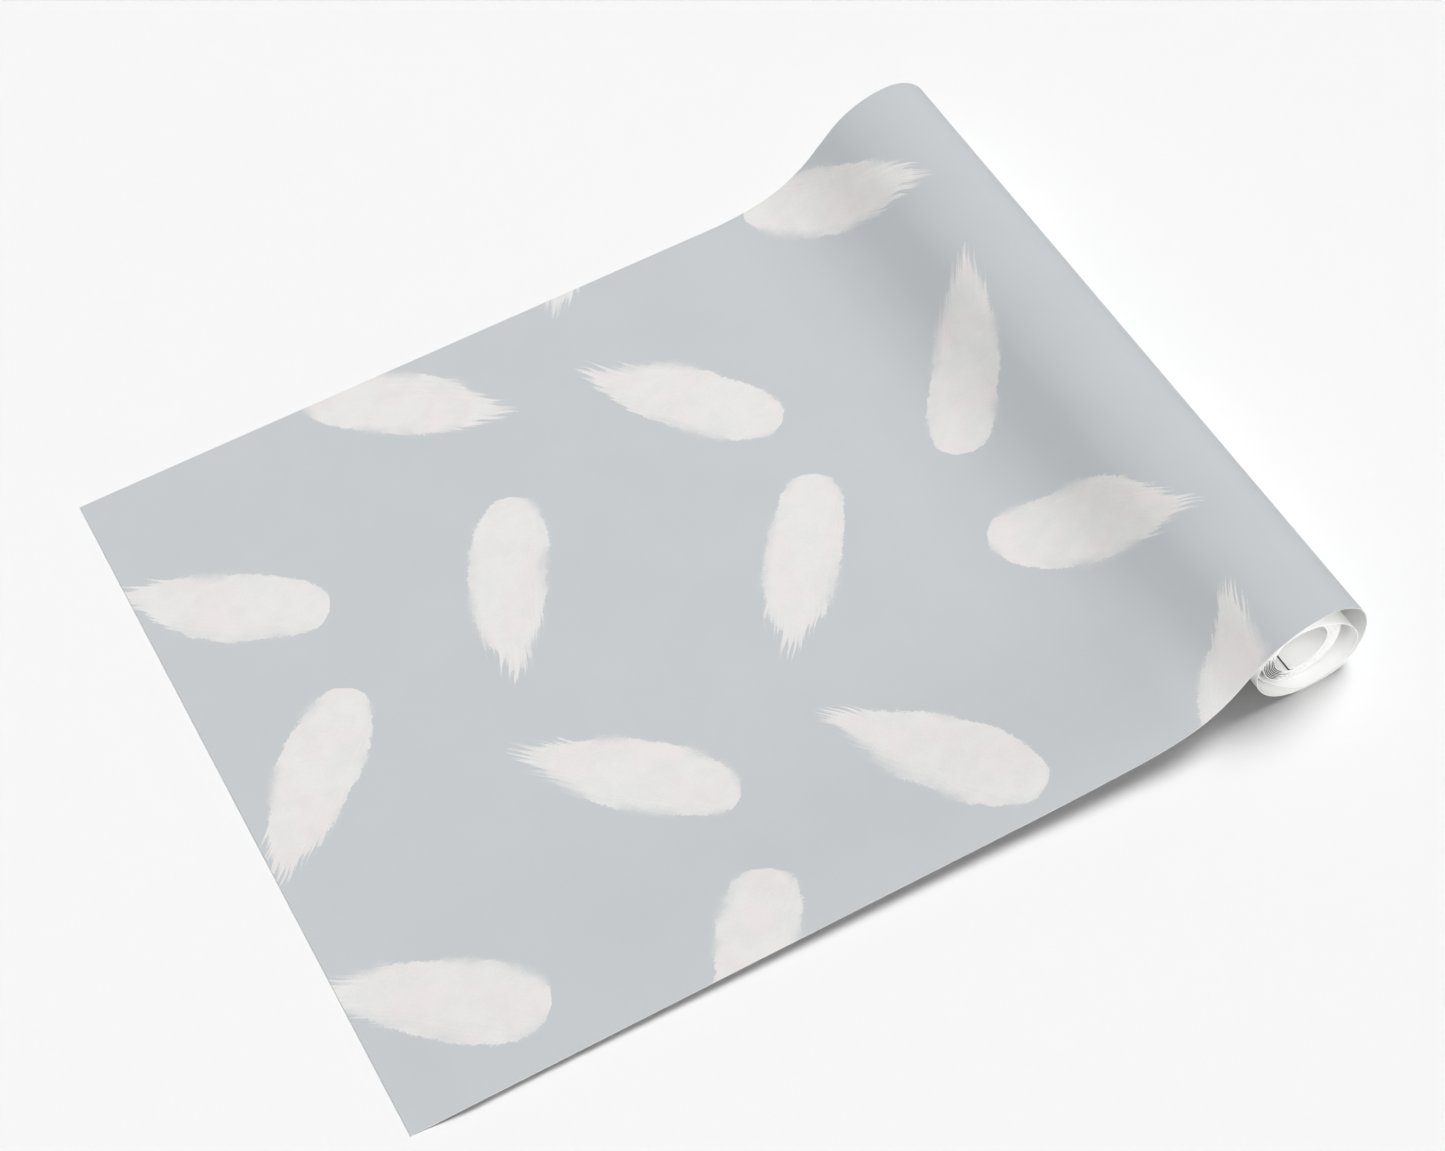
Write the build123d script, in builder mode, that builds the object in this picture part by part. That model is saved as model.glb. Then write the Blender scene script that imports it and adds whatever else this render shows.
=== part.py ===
from build123d import *
import os
from math import cos, radians, sin

# A coreless roll of printed paper web, partly unrolled: its free end lies flat, rises in an S
# on to the roll and closes round it as the outer turn.  A loose second turn lies inside the
# outer one, and the rest of the web is wound in a coil with an open bore.
#
# Millimetres and degrees.  +X runs along the web from its free edge to the roll, +Y runs
# across it to the far end of the roll, and the underside of the laid web is at Z = 0.
# The profiles are drawn in X and Z: a heading of 0 points along +X and 90 along +Z.

# The web and its plies
web_width = 530.0
backing = 0.35          # white paper backing, under the laid web and inside the turns
facing = 0.15           # printed facing, on top of the laid web and outside the turns
running_gap = 0.3       # between turns that slide past each other
cut_gap = 0.5           # where the outer turn stops short of the second one

# The laid stretch, the rise on to the roll and the outer turn
overall_length = 654.0
roll_height = 64.0
fold_count = 3          # fold lines along which the free end lifts
fold_pitch = 70.0
toe_radius = 190.0      # first gentle bend up from the floor
toe_angle = 12.0
rise_angle = 45.0       # steepest slope of the rise
rise_run = 21.0         # straight stretch at that slope
crown_radius = 66.0     # over the roll's shoulder

# The loose second turn, by its headings in the direction of winding
foot_heading = 108.0    # where the wide bend off the floor tightens
tight_radius = 16.0     # at the turn's left end
hug_heading = 22.0      # where the turn leaves the crown that it lies against
slack_headings = (-25.0, -64.0, -150.0, -180.0)
slack_shape = (31.0, 44.0, 23.5, 43.0)   # radii of the slack side, scaled to close the turn
upper_bends = 2         # of them above the roll's middle
turn_lap = 2.0          # the turn's end runs on past its foot

# The lap that leads from the second turn to the coil
lap_slack = 3.8         # how far it stands off the coil at the left
lap_angle = 100.0

# The wound coil
coil_headroom = 1.6     # left over the coil, inside the second turn
coil_offset = 2.2       # of its axis from the second turn's middle
bore_radius = 18.0
tip_angle = 245.0       # place of the web's inner end, about the coil's axis
steady_angle = 275.0    # of the first turn, wound true to the bore
tip_step = 2.8          # extra room where the next turn passes over the inner end
turn_gap = 0.5          # least gap between two turns of the coil

# Along the roll's axis
turn_overhang = 3.3     # second turn, out of the outer turn's near end
coil_recess = 6.5       # coil, in from the outer turn's near end

web = backing + facing
half_turn = 180.0
rest_height = web + running_gap              # the second turn's foot on the outer turn's floor
near_edge = turn_overhang - (web_width + turn_overhang) / 2
far_edge = near_edge + web_width
free_edge = -overall_length / 2
roll_x = (overall_length - roll_height) / 2  # middle of the outer turn's right-hand side


def toward(heading):
    """Unit vector along a heading."""
    return Vector(cos(radians(heading)), sin(radians(heading)))


def bend_shift(radius, before, after):
    """Move from end to end of a clockwise bend between two headings."""
    return radius * (toward(after + 90) - toward(before + 90))


def trace_web(start, heading, moves, left):
    """Draw one face of the web, `left` of its reference line: a chain of tangent moves.

    A move is a straight run (length, 0) or a bend (radius, turn), with a left turn positive.
    """
    at = Vector(start) + left * toward(heading + 90)
    edges = []
    for size, turn in moves:
        if turn == 0:
            edge = Line(at, at + size * toward(heading))
        elif turn > 0:
            edge = JernArc(at, toward(heading), size - left, turn)
        else:
            edge = JernArc(at, toward(heading), size + left, turn)
        heading += turn
        at = edge @ 1
        edges.append(edge)
    return edges


def web_outline(start, heading, moves, right, left):
    """Draw the closed outline of a stretch of web between two of its faces."""
    right_face = trace_web(start, heading, moves, right)
    left_face = trace_web(start, heading, moves, left)
    Line(right_face[0] @ 0, left_face[0] @ 0)
    Line(right_face[-1] @ 1, left_face[-1] @ 1)


def profile_plane(far):
    """Plane of the X-Z profiles at the far end of a piece that reaches to Y = far."""
    return Plane.XZ.offset(-far)


os.makedirs("parts", exist_ok=True)

# --- The laid web, followed along its underside
under_crown = crown_radius - web
crown_rise = under_crown * (1 - cos(radians(rise_angle)))
toe_rise = toe_radius * (1 - cos(radians(toe_angle)))
valley_rise = roll_height - web - crown_rise - rise_run * sin(radians(rise_angle)) - toe_rise
valley_radius = valley_rise / (cos(radians(toe_angle)) - cos(radians(rise_angle)))
crown_start = Vector(roll_x, roll_height - web) + bend_shift(under_crown, 0, rise_angle)
rise_start = crown_start - rise_run * toward(rise_angle)
toe_start = rise_start.X - toe_radius * sin(radians(toe_angle))
toe_start -= valley_radius * (sin(radians(rise_angle)) - sin(radians(toe_angle)))
lay_start = free_edge + fold_count * fold_pitch

# --- The second turn, followed along its outer face from its foot on the floor
crown_centre = Vector(roll_x, roll_height - crown_radius)
hug_radius = crown_radius - web - running_gap
hug_start = crown_centre + hug_radius * toward(rise_angle + 90)
hug_end = crown_centre + hug_radius * toward(hug_heading + 90)
tight_start = hug_start - bend_shift(tight_radius, foot_heading, rise_angle)
foot_radius = tight_start.Y / (1 + cos(radians(foot_heading)))
turn_start = tight_start - bend_shift(foot_radius, half_turn, foot_heading)

# Its slack side closes on the foot: the upper and the lower bends are scaled apart
slack_from = (hug_heading,) + slack_headings[:-1]
slack_bends = list(zip(slack_shape, slack_from, slack_headings))
upper_move = sum((bend_shift(*bend) for bend in slack_bends[:upper_bends]), Vector())
lower_move = sum((bend_shift(*bend) for bend in slack_bends[upper_bends:]), Vector())
turn_end = Vector(turn_start.X + turn_lap, rest_height)
slack_move = turn_end - hug_end
spread = upper_move.cross(lower_move).Z
upper_scale = slack_move.cross(lower_move).Z / spread
lower_scale = upper_move.cross(slack_move).Z / spread
slack_radii = [upper_scale * radius for radius in slack_shape[:upper_bends]]
slack_radii += [lower_scale * radius for radius in slack_shape[upper_bends:]]
turn_moves = [
    (foot_radius, foot_heading - half_turn),
    (tight_radius, rise_angle - foot_heading),
    (hug_radius, hug_heading - rise_angle),
]
turn_moves += [
    (radius, after - before)
    for radius, before, after in zip(slack_radii, slack_from, slack_headings)
]
with BuildLine() as turn_line:
    trace_web(turn_start, half_turn, turn_moves, 0)
turn_box = turn_line.line.bounding_box()

# --- The coil, about its own axis
coil_foot = rest_height + web + running_gap  # on the second turn's floor
coil_radius = (turn_box.max.Y - web - coil_headroom - coil_foot) / 2
coil_x = turn_box.center().X + coil_offset
coil_z = coil_foot + coil_radius
lap_radius = coil_radius + web + lap_slack
first_turn = bore_radius + web
seam_angle = tip_angle + steady_angle
coil_room = coil_radius - first_turn
turn_count = 1 + int((coil_room - tip_step) / (web + turn_gap))
far_pitch = (coil_room - tip_step) / (turn_count - 1)
seam_reach = [first_turn + coil_room * k / turn_count for k in range(turn_count + 1)]
far_reach = [first_turn + tip_step + far_pitch * k for k in range(turn_count)]
coil_moves = [(first_turn, steady_angle - half_turn), (first_turn, half_turn)]
for here, across, again in zip(seam_reach, far_reach, seam_reach[1:]):
    coil_moves += [((here + across) / 2, half_turn), ((across + again) / 2, half_turn)]
coil_start = Vector(coil_x, coil_z) + first_turn * toward(tip_angle)

# --- Stretches of the laid web, each in a backing and a facing
stretches = {
    "lay": ((lay_start, 0), 0, [(toe_start - lay_start, 0)]),
    "rise": (
        (toe_start, 0),
        0,
        [
            (toe_radius, toe_angle),
            (valley_radius, rise_angle - toe_angle),
            (rise_run, 0),
        ],
    ),
    "outer_turn": (
        crown_start,
        rise_angle,
        [
            (under_crown, -rise_angle),
            (roll_height / 2 - web, -half_turn),
            (roll_x - turn_start.X - cut_gap, 0),
        ],
    ),
}
for n in range(fold_count):
    panel_start = free_edge + n * fold_pitch
    stretches[f"free_end_{n + 1}"] = ((panel_start, 0), 0, [(fold_pitch, 0)])

plies = {"backing": (0, backing), "facing": (backing, web)}
for stretch, (start, heading, moves) in stretches.items():
    for ply, (low, high) in plies.items():
        with BuildPart() as strip:
            with BuildSketch(profile_plane(far_edge)):
                with BuildLine():
                    web_outline(start, heading, moves, low, high)
                make_face()
            extrude(amount=web_width)
        strip.part.label = f"{stretch}_{ply}"
        export_step(strip.part, f"parts/{stretch}_{ply}.step")

with BuildPart() as second_turn:
    with BuildSketch(profile_plane(far_edge - turn_overhang)):
        with BuildLine():
            web_outline(turn_start, half_turn, turn_moves, -web, 0)
        make_face()
    extrude(amount=web_width)
second_turn.part.label = "second_turn"
export_step(second_turn.part, "parts/second_turn.step")

# The lap starts on the end face of the second turn, as far in as the coil
lap_moves = [(turn_lap, 0), (lap_radius, -lap_angle)]
with BuildPart() as lap:
    with BuildSketch(profile_plane(far_edge - turn_overhang)):
        with BuildLine():
            web_outline(turn_end, half_turn, lap_moves, -web, 0)
        make_face()
    extrude(amount=web_width - turn_overhang - coil_recess)
lap.part.label = "lap"
export_step(lap.part, "parts/lap.step")

with BuildPart() as coil:
    with BuildSketch(profile_plane(far_edge)):
        with BuildLine():
            web_outline(coil_start, tip_angle + 90, coil_moves, 0, web)
        make_face()
    extrude(amount=web_width - coil_recess)
coil.part.label = "coil"
export_step(coil.part, "parts/coil.step")

# --- Check figures: the coil's least gap to itself, measured on points of its middle line
steps_per_turn = 72
with BuildLine() as middle:
    trace_web(coil_start, tip_angle + 90, coil_moves, web / 2)
track = []
for edge, (_, turn) in zip(middle.edges().sort_by(middle.wire()), coil_moves):
    steps = round(steps_per_turn * turn / 360)
    track += [edge @ (step / steps) for step in range(steps)]
least_gap = min(
    (a - b).length - web
    for i, a in enumerate(track)
    for b in track[i + steps_per_turn // 2:]
)
print(f"coil: {turn_count + steady_angle / 360:.2f} turns, least gap {least_gap:.2f}")
print(f"coil axis at X {coil_x:.2f}, Z {coil_z:.2f}, radius {coil_radius:.2f}")
print(f"web in the coil {sum(radians(t) * (r - web / 2) for r, t in coil_moves):.0f}")
print(f"second turn: foot at X {turn_start.X:.2f}, X {turn_box.min.X:.2f} to {turn_box.max.X:.2f}")
print(f"second turn: top {turn_box.max.Y:.2f}, scales {upper_scale:.3f} and {lower_scale:.3f}")
print(f"laid web: flat to X {toe_start:.2f}, valley radius {valley_radius:.1f}")
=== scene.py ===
from math import cos, pi, radians, sin

import bpy
import numpy as np
from mathutils import Matrix, Vector


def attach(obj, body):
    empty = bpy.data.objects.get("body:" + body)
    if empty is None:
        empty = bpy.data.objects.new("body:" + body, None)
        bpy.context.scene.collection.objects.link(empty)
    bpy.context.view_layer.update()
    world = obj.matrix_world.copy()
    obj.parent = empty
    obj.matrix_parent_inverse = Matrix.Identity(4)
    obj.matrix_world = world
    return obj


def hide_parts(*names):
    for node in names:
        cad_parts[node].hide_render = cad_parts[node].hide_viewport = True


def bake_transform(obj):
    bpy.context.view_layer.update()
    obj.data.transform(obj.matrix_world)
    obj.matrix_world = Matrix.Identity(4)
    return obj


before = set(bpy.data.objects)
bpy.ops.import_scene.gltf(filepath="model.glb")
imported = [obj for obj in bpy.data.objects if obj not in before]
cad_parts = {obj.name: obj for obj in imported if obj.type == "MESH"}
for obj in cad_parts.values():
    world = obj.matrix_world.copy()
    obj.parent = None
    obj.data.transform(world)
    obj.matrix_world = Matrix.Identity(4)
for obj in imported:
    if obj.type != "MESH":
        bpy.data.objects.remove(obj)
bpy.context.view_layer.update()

# All lengths are in millimetres up to the meshes, which are in metres.
MM = 0.001

# Shares of the light on a level surface.  The fill reaches in to the roll's near end.  It leaves
# the floor, where a second key makes up for it, so the floor keeps its shadow.
KEY, FILL, SKY = 0.25, 0.51, 0.24

# ---------------------------------------------------------------- the web and its path
WEB = 0.5                 # as deep as the solids
SKIN = 0.4                # the paper that shows, in the middle of that
GAP = (WEB - SKIN) / 2
NEAR, FAR = -263.35, 266.65
TURN_NEAR = -266.65       # the loose turn stands out of the near end
COIL_NEAR = -256.85       # the coil lies in from it
FREE_EDGE = -327.0
FOLDS = (-117.0, -187.0, -257.0)
TOE_X = 147.7             # the laid web leaves the table here
ROLL_X, ROLL_H = 295.0, 64.0
CROWN = 66.0
FOOT_X = 283.32           # foot of the loose turn
COIL_X, COIL_Z, COIL_R, BORE_R = 283.6, 30.1, 28.5, 18.0
TIP = 245.0               # the web's inner end, in degrees about the coil's axis
PARTED_AT = 207.0         # middle of the stretch where the coil's turns part
TURN_FAR, COIL_FAR = 263.35, 266.5        # their far edges


def toward(heading):
    return np.array([cos(radians(heading)), sin(radians(heading))])


def walk(start, heading, moves, run=8.0, bend=2.5):
    """Points and headings along a chain of straight runs (length, 0) and bends (radius, turn)."""
    at = np.array(start, float)
    points, headings = [at], [heading]
    for size, turn in moves:
        if turn == 0:
            steps = max(1, round(size / run))
            for k in range(1, steps + 1):
                points.append(at + size * k / steps * toward(heading))
                headings.append(heading)
        else:
            side = 1 if turn > 0 else -1
            centre = at + side * size * toward(heading + 90)
            steps = max(2, round(abs(turn) / bend), round(size * radians(abs(turn)) / run))
            for k in range(1, steps + 1):
                now = heading + turn * k / steps
                points.append(centre - side * size * toward(now + 90))
                headings.append(now)
            heading += turn
        at = points[-1]
    return np.array(points), np.array(headings, float)


def lengths(points):
    return np.concatenate([[0], np.cumsum(np.hypot(*np.diff(points, axis=0).T))])


def beside(points, headings, left):
    """The path moved to its left."""
    turned = np.radians(headings + 90)
    return points + left * np.stack([np.cos(turned), np.sin(turned)], 1)


def laid_sides(points, headings):
    """Right and left side of the paper in a web that is followed along its right face."""
    return beside(points, headings, GAP), beside(points, headings, WEB - GAP)


def wound_sides(points, headings):
    """The same for a web that is followed along its left face."""
    return beside(points, headings, GAP - WEB), beside(points, headings, -GAP)


def smooth(a, b, x):
    t = np.clip((x - a) / (b - a), 0, 1)
    return t * t * (3 - 2 * t)


# ---------------------------------------------------------------- meshes
def ribbon(name, right, left, along, near, far, shares, materials, shift=None):
    """A strip of web from near to far across, between two paths of points in X and Z.

    The left side takes the first material, the right side the second, the cut edges the third.
    """
    n, m = len(along), len(shares)
    near = np.broadcast_to(np.asarray(near, float), n)
    y = near[:, None] + (far - near)[:, None] * np.asarray(shares)[None, :]
    sides = []
    for path in (right, left):
        x = np.repeat(path[:, :1], m, 1)
        z = np.repeat(path[:, 1:], m, 1)
        co = np.stack([x, y, z], 2)
        if shift is not None:
            co = co + shift(co)
        sides.append(co.reshape(-1, 3))
    verts = np.concatenate(sides) * MM
    web = np.stack([np.repeat(along[:, None], m, 1), y], 2).reshape(-1, 2)
    web = np.concatenate([web, web]) * MM

    def at(side, i, j):
        return side * n * m + i * m + j

    faces, marks = [], []
    for i in range(n - 1):
        for j in range(m - 1):
            faces.append((at(1, i, j), at(1, i + 1, j), at(1, i + 1, j + 1), at(1, i, j + 1)))
            marks.append(0)
            faces.append((at(0, i, j), at(0, i, j + 1), at(0, i + 1, j + 1), at(0, i + 1, j)))
            marks.append(1)
        faces.append((at(0, i, 0), at(0, i + 1, 0), at(1, i + 1, 0), at(1, i, 0)))
        faces.append((at(0, i, m - 1), at(1, i, m - 1), at(1, i + 1, m - 1), at(0, i + 1, m - 1)))
        marks += [2, 2]
    for j in range(m - 1):
        faces.append((at(0, 0, j), at(1, 0, j), at(1, 0, j + 1), at(0, 0, j + 1)))
        faces.append((at(0, n - 1, j), at(0, n - 1, j + 1), at(1, n - 1, j + 1), at(1, n - 1, j)))
        marks += [2, 2]
    mesh = bpy.data.meshes.new(name)
    mesh.from_pydata(verts.tolist(), [], faces)
    mesh.update()
    mesh.polygons.foreach_set("material_index", marks)
    mesh.polygons.foreach_set("use_smooth", [True] * len(marks))
    mesh.set_sharp_from_angle(angle=radians(40))
    loops = np.empty(len(mesh.loops), int)
    mesh.loops.foreach_get("vertex_index", loops)
    layer = mesh.uv_layers.new(name="web")
    layer.uv.foreach_set("vector", web[loops].astype(np.float32).ravel())
    for material in materials:
        mesh.materials.append(material)
    piece = bpy.data.objects.new(name, mesh)
    bpy.context.scene.collection.objects.link(piece)
    return piece


# ---------------------------------------------------------------- materials
class Graph:
    """A material's nodes, put together with short calls."""

    def __init__(self, name):
        self.material = bpy.data.materials.new(name)
        self.material.use_nodes = True
        self.tree = self.material.node_tree
        self.shader = self.tree.nodes["Principled BSDF"]

    def put(self, socket, value):
        if isinstance(value, bpy.types.NodeSocket):
            self.tree.links.new(value, socket)
        else:
            socket.default_value = value

    def node(self, kind, **inputs):
        made = self.tree.nodes.new(kind)
        for key, value in inputs.items():
            self.put(made.inputs[key], value)
        return made

    def math(self, operation, *values, clamp=False):
        made = self.tree.nodes.new("ShaderNodeMath")
        made.operation = operation
        made.use_clamp = clamp
        for socket, value in zip(made.inputs, values):
            self.put(socket, value)
        return made.outputs[0]

    def plus(self, a, b, clamp=False):
        return self.math("ADD", a, b, clamp=clamp)

    def minus(self, a, b):
        return self.math("SUBTRACT", a, b)

    def times(self, a, b, clamp=False):
        return self.math("MULTIPLY", a, b, clamp=clamp)

    def join(self, x, y, z=0.0):
        return self.node("ShaderNodeCombineXYZ", X=x, Y=y, Z=z).outputs[0]

    def noise(self, place, scale, detail=3.0, rough=0.5):
        made = self.node(
            "ShaderNodeTexNoise", Vector=place, Scale=scale, Detail=detail, Roughness=rough
        )
        return made.outputs["Fac"]

    def ramp(self, value, low, high):
        """Smooth step of a value between two limits."""
        made = self.tree.nodes.new("ShaderNodeMapRange")
        made.interpolation_type = "SMOOTHSTEP"
        self.put(made.inputs["Value"], value)
        self.put(made.inputs["From Min"], low)
        self.put(made.inputs["From Max"], high)
        return made.outputs["Result"]

    def blend(self, share, a, b):
        made = self.tree.nodes.new("ShaderNodeMix")
        made.data_type = "RGBA"
        for key, value in (("Factor_Float", share), ("A_Color", a), ("B_Color", b)):
            socket = next(s for s in made.inputs if s.identifier == key)
            self.put(socket, value)
        return next(s for s in made.outputs if s.identifier == "Result_Color")

    def web(self):
        """Place on the web, in metres: along it and across it."""
        made = self.tree.nodes.new("ShaderNodeUVMap")
        made.uv_map = "web"
        parts = self.node("ShaderNodeSeparateXYZ", Vector=made.outputs[0])
        return made.outputs[0], parts.outputs["X"], parts.outputs["Y"]

    def bump(self, height, distance, strength):
        made = self.node("ShaderNodeBump", Strength=strength, Distance=distance, Height=height)
        self.put(self.shader.inputs["Normal"], made.outputs[0])


def linear(r, g, b):
    """A colour from 0 to 255 as the shader takes it."""
    parts = [v / 255 for v in (r, g, b)]
    return [v / 12.92 if v <= 0.04045 else ((v + 0.055) / 1.055) ** 2.4 for v in parts] + [1.0]


def paper_grain(g, place, along, across):
    """Height of the paper's surface: felt, fibres and fine tooth."""
    felt = g.noise(place, 420.0, 4.0, 0.6)
    stretched = g.join(g.times(along, 260.0), g.times(across, 1500.0))
    fibres = g.noise(stretched, 1.0, 4.0, 0.7)
    tooth = g.noise(place, 2600.0, 2.0, 0.6)
    return g.plus(g.plus(g.times(felt, 0.5), g.times(fibres, 0.3)), g.times(tooth, 0.35))


def white_paper(name, light, dark, speck):
    g = Graph(name)
    place, along, across = g.web()
    grain = paper_grain(g, place, along, across)
    cloud = g.ramp(g.noise(place, 22.0, 3.0, 0.55), 0.3, 0.7)
    colour = g.blend(cloud, dark, light)
    specks = g.ramp(g.noise(place, 1400.0, 2.0, 0.5), 0.66, 0.74)
    colour = g.blend(g.times(specks, 0.35), colour, speck)
    g.put(g.shader.inputs["Base Color"], colour)
    rough = g.plus(0.78, g.times(grain, 0.14))
    g.put(g.shader.inputs["Roughness"], rough)
    g.shader.inputs["Specular IOR Level"].default_value = 0.12
    g.bump(grain, 0.00025, 0.35)
    return g.material


def cut_edge(name, light, dark):
    """The cut edge of the web: fine fibres across its thickness, some turns darker than others."""
    g = Graph(name)
    place, along, across = g.web()
    grain = g.noise(g.join(g.times(along, 900.0), g.times(across, 900.0)), 1.0, 4.0, 0.7)
    turns = g.noise(g.join(g.times(along, 55.0), 0.0, 3.7), 1.0, 3.0, 0.6)
    share = g.plus(g.times(grain, 0.7), g.times(turns, 0.5), clamp=True)
    g.put(g.shader.inputs["Base Color"], g.blend(g.ramp(share, 0.35, 0.8), dark, light))
    g.put(g.shader.inputs["Roughness"], g.plus(0.82, g.times(grain, 0.12)))
    g.shader.inputs["Specular IOR Level"].default_value = 0.1
    g.bump(grain, 0.0002, 0.6)
    return g.material


def printed_paper(name, ground, ground_deep, ink, ink_warm):
    """The printed face: broad dry-brushed dabs, one to a cell of a half-drop layout."""
    g = Graph(name)
    place, along, across = g.web()
    grain = paper_grain(g, place, along, across)

    # Cells, every other column dropped by half
    cell_along, cell_across = 0.171, 0.166
    column_at = g.math("DIVIDE", g.plus(along, 0.362), cell_along)
    column = g.math("FLOOR", column_at)
    drop = g.times(g.math("MODULO", column, 2.0), 0.5)
    row_at = g.plus(g.math("DIVIDE", g.plus(across, 0.268), cell_across), drop)
    row = g.math("FLOOR", row_at)
    chance = g.node("ShaderNodeTexWhiteNoise", Vector=g.join(column, row, 2.0))
    pick = g.node("ShaderNodeSeparateXYZ", Vector=chance.outputs["Color"])
    x = g.times(g.minus(g.math("FRACT", column_at), 0.5), cell_along)
    y = g.times(g.minus(g.math("FRACT", row_at), 0.5), cell_across)
    x = g.plus(x, g.times(g.minus(pick.outputs["X"], 0.5), 0.016))
    y = g.plus(y, g.times(g.minus(pick.outputs["Y"], 0.5), 0.016))

    # Each dab leans one way or the other, head up or head down
    parity = g.math("MODULO", g.plus(g.plus(column, row), 40.0), 2.0)
    lean = g.plus(g.times(parity, radians(96)), radians(-41))
    lean = g.plus(lean, g.times(g.minus(pick.outputs["Z"], 0.5), radians(26)))
    lean = g.plus(lean, g.times(g.math("GREATER_THAN", pick.outputs["X"], 0.5), pi))
    c, s = g.math("COSINE", lean), g.math("SINE", lean)
    a = g.plus(g.times(x, c), g.times(y, s))
    b = g.minus(g.times(y, c), g.times(x, s))
    sway = g.minus(g.noise(place, 13.0, 2.0, 0.5), 0.5)
    b = g.plus(b, g.times(sway, 0.022))

    # A dab is broad and round at its head and tapers to a dry, frayed tail.  Its sizes and the
    # distance in from its edge are in metres.
    half_length, half_width = 0.077, 0.0262
    t = g.math("DIVIDE", a, half_length)
    to_tail = g.math("MAXIMUM", g.minus(1.0, t), 0.0)
    to_head = g.math("MAXIMUM", g.plus(1.0, t), 0.0)
    half = g.times(g.math("POWER", to_tail, 0.72), g.math("POWER", to_head, 0.42))
    half = g.times(half, half_width)
    inside = g.minus(half, g.math("ABSOLUTE", b))
    beyond = g.math("MAXIMUM", g.minus(g.math("ABSOLUTE", t), 0.96), 0.0)
    inside = g.minus(inside, g.times(beyond, 0.16))
    bristles = g.join(g.times(a, 11.0), g.times(b, 520.0), g.times(row, 3.1))
    bristle = g.noise(bristles, 1.0, 4.0, 0.6)
    dry = g.ramp(bristle, 0.36, 0.62)
    tail = g.math("POWER", g.math("MAXIMUM", g.plus(t, 0.02), 0.0), 2.0)
    fray = g.times(g.times(tail, dry), -0.015)
    nibble = g.times(g.minus(g.noise(place, 150.0, 3.0, 0.6), 0.5), 0.0058)
    frost = g.times(g.minus(g.noise(place, 640.0, 3.0, 0.65), 0.5), 0.0052)
    inside = g.plus(g.plus(inside, fray), g.plus(nibble, frost))
    crisp = g.ramp(inside, g.times(tail, -0.0022), g.plus(0.0016, g.times(tail, 0.003)))
    soft = g.ramp(inside, -0.0042, 0.0085)
    hazy = g.ramp(g.noise(place, 24.0, 2.0, 0.5), 0.42, 0.62)
    cover = g.plus(g.times(crisp, g.minus(1.0, hazy)), g.times(soft, hazy))

    # The ink lies thinner at the tail and along one side, in streaks and a fine tooth
    side = g.ramp(g.math("DIVIDE", b, 0.022), 0.1, 1.0)
    thin = g.times(g.plus(g.times(side, 0.1), g.times(tail, 0.2)), dry)
    tooth = g.ramp(g.noise(place, 780.0, 3.0, 0.7), 0.3, 0.68)
    patch = g.ramp(g.noise(place, 62.0, 3.0, 0.6), 0.32, 0.66)
    body = g.plus(0.74, g.plus(g.times(tooth, 0.16), g.times(patch, 0.14)))
    cover = g.times(cover, g.minus(body, thin), clamp=True)
    warm = g.ramp(g.noise(place, 30.0, 2.0, 0.5), 0.4, 0.66)
    inked = g.blend(warm, ink, ink_warm)

    mottle = g.ramp(g.noise(place, 16.0, 4.0, 0.6), 0.3, 0.72)
    plain = g.blend(mottle, ground, ground_deep)
    pores = g.ramp(g.noise(place, 1900.0, 2.0, 0.5), 0.62, 0.75)
    plain = g.blend(g.times(pores, 0.12), plain, ink)
    g.put(g.shader.inputs["Base Color"], g.blend(cover, plain, inked))
    rough = g.plus(g.times(grain, 0.12), g.plus(0.66, g.times(cover, 0.1)))
    g.put(g.shader.inputs["Roughness"], rough)
    g.shader.inputs["Specular IOR Level"].default_value = 0.12
    raised = g.plus(grain, g.times(cover, 0.6))
    g.bump(raised, 0.00022, 0.3)
    return g.material


PRINT = printed_paper(
    "printed_face",
    ground=linear(200, 203.5, 206),
    ground_deep=linear(198, 201.5, 203.5),
    ink=linear(234, 233, 231),
    ink_warm=linear(235, 230, 229),
)
WHITE = white_paper(
    "white_paper",
    light=linear(250, 250, 249),
    dark=linear(247, 247, 246),
    speck=linear(238, 237, 235),
)
# The white paper darkened to a third: painted shade for the faces between the coil's turns
PAINTED_SHADE = white_paper(
    "painted_shade_between_turns",
    light=linear(112, 111, 110),
    dark=linear(98, 97, 96),
    speck=linear(85, 84, 83),
)
EDGE = cut_edge("paper_edge", light=linear(250, 250, 249), dark=linear(228, 227, 225))
PRINTED, PLAIN = (PRINT, WHITE, EDGE), (WHITE, WHITE, EDGE)

# The nodes from model.glb keep the same finishes, for whoever shows them
for node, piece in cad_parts.items():
    finish = PRINT if node.endswith("facing") else WHITE
    for k in range(len(piece.material_slots)):
        piece.material_slots[k].material = finish


# ---------------------------------------------------------------- the floor
reach = 6                 # metres each way
corners = [(-reach, -reach, 0), (reach, -reach, 0), (reach, reach, 0), (-reach, reach, 0)]
floor_mesh = bpy.data.meshes.new("floor")
floor_mesh.from_pydata(corners, [], [(0, 1, 2, 3)])
floor = bpy.data.objects.new("floor", floor_mesh)
bpy.context.scene.collection.objects.link(floor)
g = Graph("floor")
spot = g.node("ShaderNodeTexCoord").outputs["Object"]
pale = g.blend(g.noise(spot, 3.0, 2.0), linear(247, 247, 247), linear(248, 248, 248))
g.put(g.shader.inputs["Base Color"], pale)
g.shader.inputs["Roughness"].default_value = 0.9
g.shader.inputs["Specular IOR Level"].default_value = 0.0
floor_mesh.materials.append(g.material)


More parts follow.
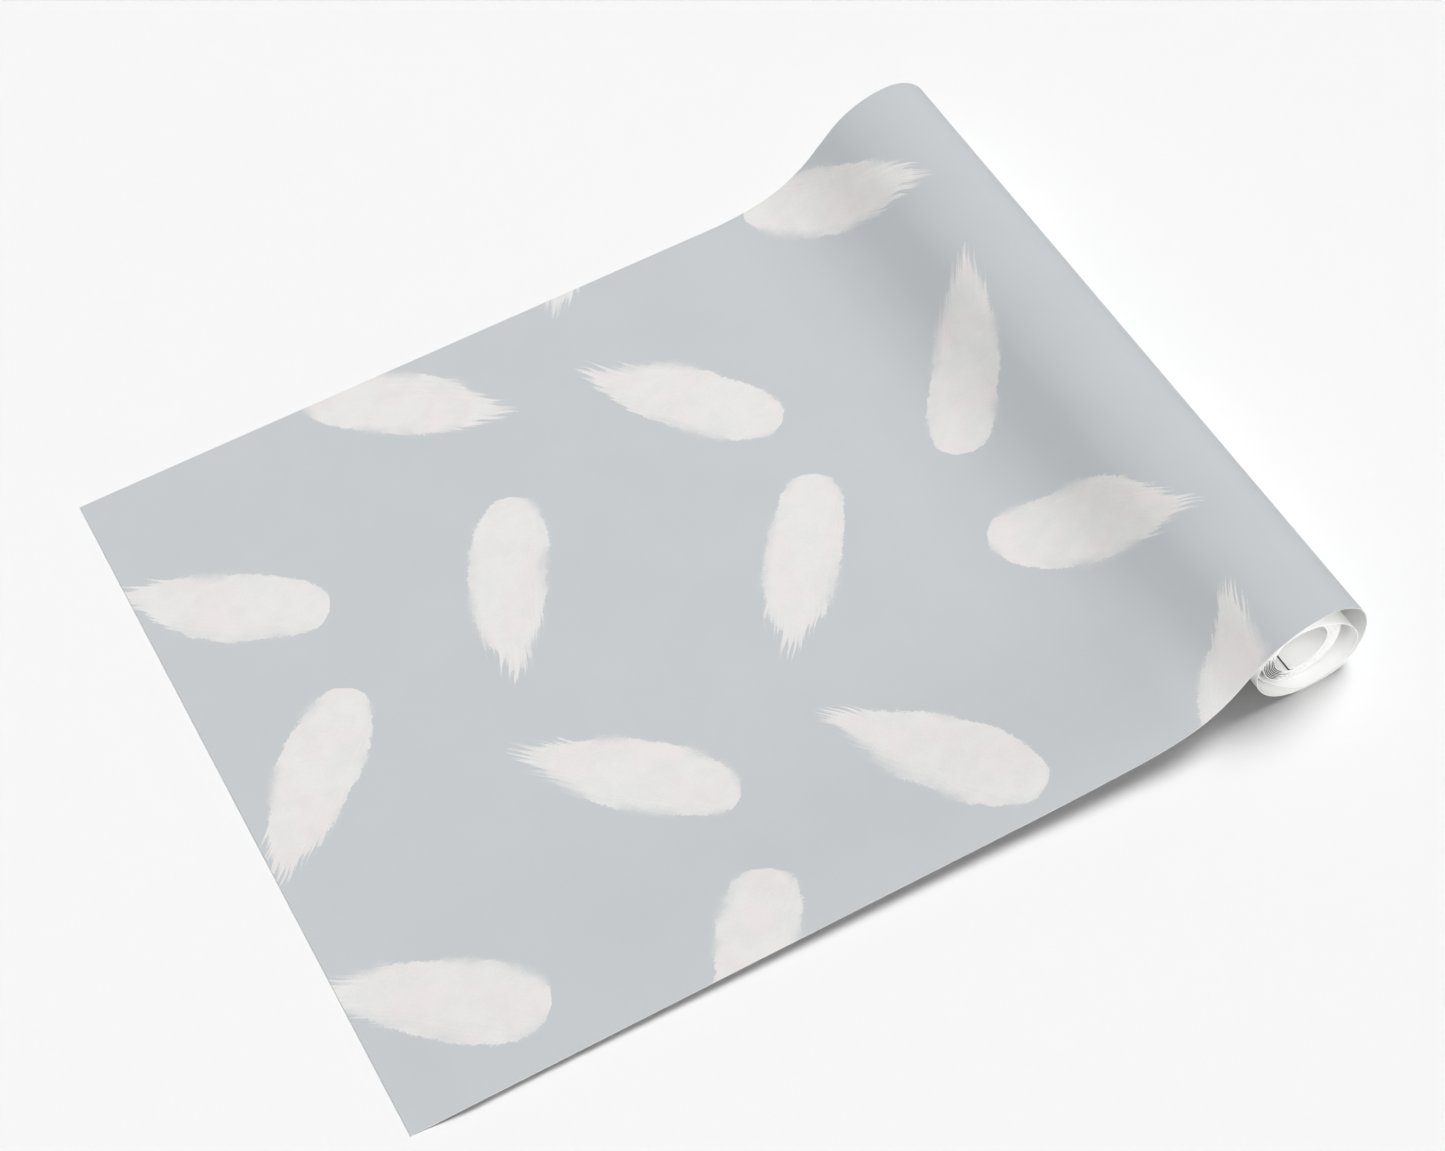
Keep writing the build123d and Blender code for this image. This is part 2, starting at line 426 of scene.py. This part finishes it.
# ---------------------------------------------------------------- the laid web, in four strips
def rows(first, last, count, edge=3):
    """Shares across the web, closer together at both edges."""
    inner = np.linspace(first, last, count)
    near = first + (inner[1] - inner[0]) * np.linspace(0, 1, edge + 1)[1:-1]
    far = last - (inner[1] - inner[0]) * np.linspace(0, 1, edge + 1)[1:-1]
    return np.sort(np.concatenate([inner, near, far]))


def lie(co):
    """How far the laid web stands off the table: its near edge lifts, more by the rise.

    A lifted edge also moves out, along the line of sight, and so keeps its place in the view.
    """
    outward = 0.52            # for each millimetre of height
    x, y = co[..., 0], co[..., 1]
    before_rise = 1 - smooth(188, 250, x)
    # 3.8 mm at the free corner, 9 mm more along the laid web, and 3 mm more by the rise
    raised = 3.8 + 9.0 * np.clip((x + 250) / 400, 0, 1) ** 1.3 + 3.0 * smooth(60, 170, x)
    raised = raised * smooth(FREE_EDGE, -285, x) * before_rise
    near_share = np.exp(-((y - NEAR) / 85.0) ** 2)
    far_share = np.exp(-((FAR - y) / 20.0) ** 2)
    moved = np.zeros_like(co)
    trim = (0.5 - 0.9 * smooth(90, 160, x)) * before_rise
    moved[..., 1] = -(outward * raised + trim) * near_share
    moved[..., 2] = raised * near_share
    moved[..., 2] += 0.25 * far_share * (1 - smooth(100, 200, x)) * smooth(FREE_EDGE, -300, x)
    return moved


ACROSS = rows(0, 1, 46)
LAID_FROM = -82.0         # the laid web before this is cut into separate strips
flat_runs = [
    ("free_end_1_paper", FREE_EDGE, -222.0),
    ("free_end_2_paper", -222.0, -152.0),
    ("free_end_3_paper", -152.0, LAID_FROM),
]
strips = []
for name, first, last in flat_runs:
    path, heads = walk((first, 0), 0, [(last - first, 0)], run=2.5)
    sides = laid_sides(path, heads)
    strips.append(ribbon(name, *sides, path[:, 0], NEAR, FAR, ACROSS, PRINTED, lie))
moves = [
    (TOE_X - LAID_FROM, 0),
    (190.0, 12.0),                    # the toe
    (93.43, 33.0),                    # the valley
    (21.0, 0),                        # the slope
    (CROWN - WEB, -45.0),
    (ROLL_H / 2 - WEB, -180.0),
    (ROLL_X - FOOT_X - 0.04, 0),      # under the roll, up to the loose turn's foot
]
path, heads = walk((LAID_FROM, 0), 0, moves)
along = LAID_FROM + lengths(path)
main_length = lengths(path)[-1]
# The web winds askew: under the roll its near edge moves out to the loose turn's
edge_out = NEAR + (TURN_NEAR - NEAR) * smooth(-80, -180, heads)
sides = laid_sides(path, heads)
main = ribbon(
    "laid_and_outer_turn_paper", *sides, along, edge_out, FAR, ACROSS, PRINTED, lie
)
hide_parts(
    "lay_backing", "lay_facing", "rise_backing", "rise_facing",
    "outer_turn_backing", "outer_turn_facing",
)
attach(main, "laid_web")
bodies = ("free_end_1", "free_end_2", "free_end_3", "laid_web")
# Half the width of each bend, which this script doesn't apply: a wide one at the last fold would
# dip under the table
halves = (24.0, 24.0, 8.5)
for piece, outer, inner, fold, half in zip(strips, bodies, bodies[1:], reversed(FOLDS), halves):
    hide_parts(f"{outer}_backing", f"{outer}_facing")
    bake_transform(piece)

# ---------------------------------------------------------------- the loose turn and the lap
hug = CROWN - WEB - 0.3
crown_centre = np.array([ROLL_X, ROLL_H - CROWN])
hug_start = crown_centre + hug * toward(135)


def bend_shift(radius, before, after):
    return radius * (toward(after + 90) - toward(before + 90))


tight_start = hug_start - bend_shift(16.0, 108.0, 45.0)
foot_bend = tight_start[1] / (1 + cos(radians(108.0)))
turn_start = tight_start - bend_shift(foot_bend, 180.0, 108.0)
turn_moves = [(foot_bend, -72.0), (16.0, -63.0), (hug, -23.0)]
turn_moves += [(30.97, -47.0), (43.96, -39.0), (23.5, -86.0), (43.0, -30.0)]     # the slack
path, heads = walk(turn_start, 180.0, turn_moves, run=6.0)
turn_end = path[-1]
along = lengths(path)
# The turn's near rim stands out of the roll all round but at the upper left, where it lies close
# inside the outer turn's edge
x, z = path[:, 0], path[:, 1]
skew = np.where(x < 262, smooth(30, 52, z), 1 - smooth(264, 300, x)) * 3.0
turn_near = TURN_NEAR + np.where(z > 28, skew, 0.0)
sides = wound_sides(path, heads)
turn = ribbon("loose_turn_paper", *sides, along, turn_near, TURN_FAR, rows(0, 1, 14), PLAIN)
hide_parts("second_turn")
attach(turn, "loose_turn")

lap_bend = COIL_R + WEB + 3.8
path, heads = walk(turn_end, 180.0, [(2.0, 0), (lap_bend, -100.0)], run=5.0)
along = lengths(path)
# Its near edge leads in from the loose turn's to the coil's
lap_near = TURN_NEAR + (COIL_NEAR - 0.3 - TURN_NEAR) * smooth(180, 132, heads)
sides = wound_sides(path, heads)
lap = ribbon("lap_paper", *sides, along, lap_near, TURN_FAR, rows(0, 1, 10), PLAIN)
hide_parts("lap")
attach(lap, "loose_turn")


# ---------------------------------------------------------------- the coil
# Its turns lie close at the right and part a little at the left.  The inner end lies free, a step
# inside the turn that follows it.  phi runs along the web from that end, in degrees.
turns = 8.62
per_turn = 90             # steps
pitch = (COIL_R - 0.45 - BORE_R) / turns
phi = np.linspace(0, 360 * turns, int(turns * per_turn) + 1)
since = phi % 360

# How far the first turn strays from an even spiral.  Each turn outside it strays less.
tip_over = 19.8           # radius at which the web passes over its own end
stray_at = [0, 45, 115, 160, 205, 250, 290, 320, 360]
stray_radius = [BORE_R, 18.45, 18.9, 18.5, 18.1, 18.4, 19.3, 19.75, tip_over]
stray = np.interp(since, stray_at, stray_radius) - BORE_R - pitch * since / 360
joined = 60               # degrees past the inner end at which the second turn lies on the first
first = stray[int(joined / 360 * per_turn)]
held = tip_over - BORE_R - pitch
settled = held + (first - held) * smooth(0, joined, since)
stray = np.where((phi >= 360) & (since < joined), settled, stray)
inner = BORE_R + pitch * phi / 360 + stray * (1 - np.maximum(phi - 360, 0) / (360 * (turns - 1)))
kernel = np.hanning(9) / np.hanning(9).sum()
inner = np.convolve(np.pad(inner, 4, mode="edge"), kernel, mode="valid")

# Each turn is as thick as the room up to the next, less where the turns part and at the inner end
away = (TIP + phi - PARTED_AT + 180) % 360 - 180
opened = smooth(-44, -16, away) * (1 - smooth(14, 40, away))
clear, outermost = 0.02, COIL_R - 0.02
follows = np.interp(phi + 360, phi, inner, right=outermost)
thick = follows - inner - clear - 0.69 * opened
tip_thick = 0.36
thick = np.where(phi < 40, tip_thick + (thick - tip_thick) * smooth(0, 9, phi), thick)
thick = np.clip(thick, 0.3, outermost - inner)

theta = np.radians(TIP + phi)
ring = np.stack([np.cos(theta), np.sin(theta)], 1)
centre = np.array([COIL_X, COIL_Z])
inside = centre + inner[:, None] * ring
outside = centre + (inner + thick)[:, None] * ring
along = lengths(inside)

# The turns' near rims don't lie quite level
rng = np.random.default_rng(7)
knots = rng.normal(0, 1, int(turns * 5) + 3)
drift = np.interp(phi / 72, np.arange(len(knots)), knots)
ragged = 0.13 * drift + 0.09 * rng.normal(0, 1, len(phi))
coil_rows = rows(0, 1, 6)
coil = ribbon("coil_paper", inside, outside, along, COIL_NEAR + ragged, COIL_FAR, coil_rows, PLAIN)
# A counter-clockwise path has its outside at its right, so the sides swap
coil.data.flip_normals()

# Painted shade: where the turns part, and on the wall just under the inner end, the faces between
# the turns take a darkened copy of the white paper
per_step = 2 * (len(coil_rows) - 1) + 2
for start, mark in zip(np.repeat(phi[:-1], per_step), list(coil.data.polygons)):
    parted = abs((TIP + start - PARTED_AT + 180) % 360 - 180) < 46
    painted_shade_inside = mark.material_index == 1 and start > 358 and (parted or start < 372)
    painted_shade_outside = mark.material_index == 0 and start < 360 * (turns - 1) - 4 and parted
    if painted_shade_inside or painted_shade_outside:
        mark.material_index = 3
coil.data.materials.append(PAINTED_SHADE)
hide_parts("coil")
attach(coil, "coil")

# Each piece is a stretch of the one web, as wide as the roll
laid = [(strip, last - first, ["floor"]) for strip, (_, first, last) in zip(strips, flat_runs)]
laid.append((main, main_length, ["floor", turn.name]))

# ---------------------------------------------------------------- light and camera
world = bpy.data.worlds.new("studio")
bpy.context.scene.world = world
world.use_nodes = True
tree = world.node_tree
tree.nodes.clear()
out = tree.nodes.new("ShaderNodeOutputWorld")
mixer = tree.nodes.new("ShaderNodeMixShader")
sky = tree.nodes.new("ShaderNodeBackground")
sky.inputs["Color"].default_value = (1, 1, 1, 1)
sky.inputs["Strength"].default_value = SKY
seen = tree.nodes.new("ShaderNodeBackground")
seen.inputs["Color"].default_value = linear(248, 248, 248)
seen.inputs["Strength"].default_value = 1.0
# The camera, and whatever mirrors or lets through, sees the pale studio
path_node = tree.nodes.new("ShaderNodeLightPath")
share = path_node.outputs["Is Camera Ray"]
for ray in ("Is Glossy Ray", "Is Transmission Ray"):
    either = tree.nodes.new("ShaderNodeMath")
    either.operation = "MAXIMUM"
    tree.links.new(share, either.inputs[0])
    tree.links.new(path_node.outputs[ray], either.inputs[1])
    share = either.outputs[0]
tree.links.new(share, mixer.inputs[0])
tree.links.new(sky.outputs[0], mixer.inputs[1])
tree.links.new(seen.outputs[0], mixer.inputs[2])
tree.links.new(mixer.outputs[0], out.inputs[0])


def sun(name, share, toward_light, angle):
    """A soft distant lamp that lights a level surface with a share of full light."""
    lamp = bpy.data.lights.new(name, "SUN")
    aim = Vector(toward_light).normalized()
    lamp.energy = pi * share / aim.z
    lamp.angle = radians(angle)
    placed = bpy.data.objects.new(name, lamp)
    bpy.context.scene.collection.objects.link(placed)
    placed.rotation_mode = "QUATERNION"
    placed.rotation_quaternion = aim.to_track_quat("Z", "Y")
    return placed


def link_floor(lamp, state):
    """Leave the floor out of a lamp's light, or light it alone."""
    group = bpy.data.collections.new(f"{lamp.name}_receivers")
    group.objects.link(floor)
    group.collection_objects[0].light_linking.link_state = state
    lamp.light_linking.receiver_collection = group


sun("key", KEY, (0.7, 0.3, 1.0), 30)
link_floor(sun("fill", FILL, (-0.12, -0.72, 0.75), 50), "EXCLUDE")
link_floor(sun("floor_key", FILL, (0.7, 0.19, 1.0), 38), "INCLUDE")

lens = bpy.data.cameras.new("camera")
lens.sensor_fit = "HORIZONTAL"
lens.sensor_width = 36.0
lens.lens = 36.0 * 3027 / 1445        # 3027 pixels in a view 1445 wide
camera = bpy.data.objects.new("camera", lens)
bpy.context.scene.collection.objects.link(camera)
right = (0.87895683, -0.47235124, -0.06572056)
down = (-0.41434178, -0.68813777, -0.59564024)
ahead = (0.23612661, 0.55077283, -0.80055825)
eye = (-0.44575, -1.07794, 1.56017)
place = [[right[k], -down[k], -ahead[k], eye[k]] for k in range(3)]
camera.matrix_world = Matrix(place + [[0, 0, 0, 1]])
bpy.context.scene.camera = camera
bpy.context.scene.view_settings.view_transform = "Standard"
